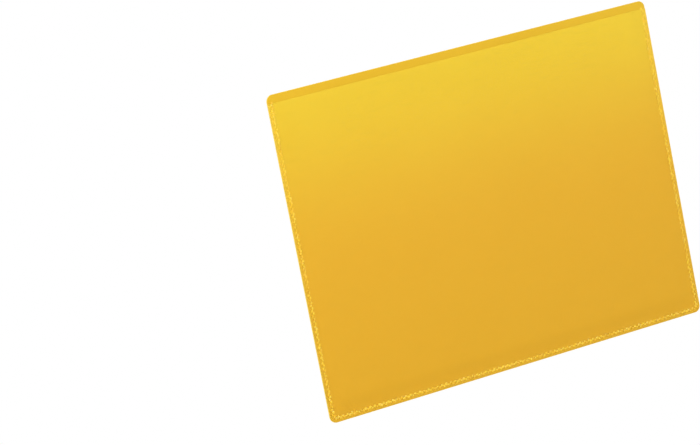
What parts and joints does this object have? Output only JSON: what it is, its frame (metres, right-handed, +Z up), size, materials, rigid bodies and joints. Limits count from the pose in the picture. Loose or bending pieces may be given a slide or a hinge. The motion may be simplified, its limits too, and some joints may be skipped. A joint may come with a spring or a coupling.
{
  "type": "document pocket",
  "caption": "Flat landscape document pocket: clear front film welded to a yellow plastic back sheet along its sides and bottom, open at the top, with black fixing strips on the back.",
  "frame": {"origin": "centre of the upper fixing strip's outer face, on the plane of the wall", "axes": "+Z up, +Y out of the back into the wall, +X along the pocket's length, to the right as seen from the front"},
  "size_m": [0.223, 0.0029, 0.163],
  "materials": {
    "yellow_sheet": "opaque warm yellow plastic sheet, satin",
    "clear_film": "clear film, glossy, so the yellow sheet shows through it",
    "black_strip": "black flexible strip, satin",
    "adhesive": "thin bonding layer between strip and sheet"
  },
  "bodies": {
    "root": {"back_sheet": "yellow_sheet", "front_sheet": "clear_film", "upper_strip": "black_strip", "upper_strip_adhesive": "adhesive", "lower_strip": "black_strip", "lower_strip_adhesive": "adhesive"}
  },
  "joints": []
}
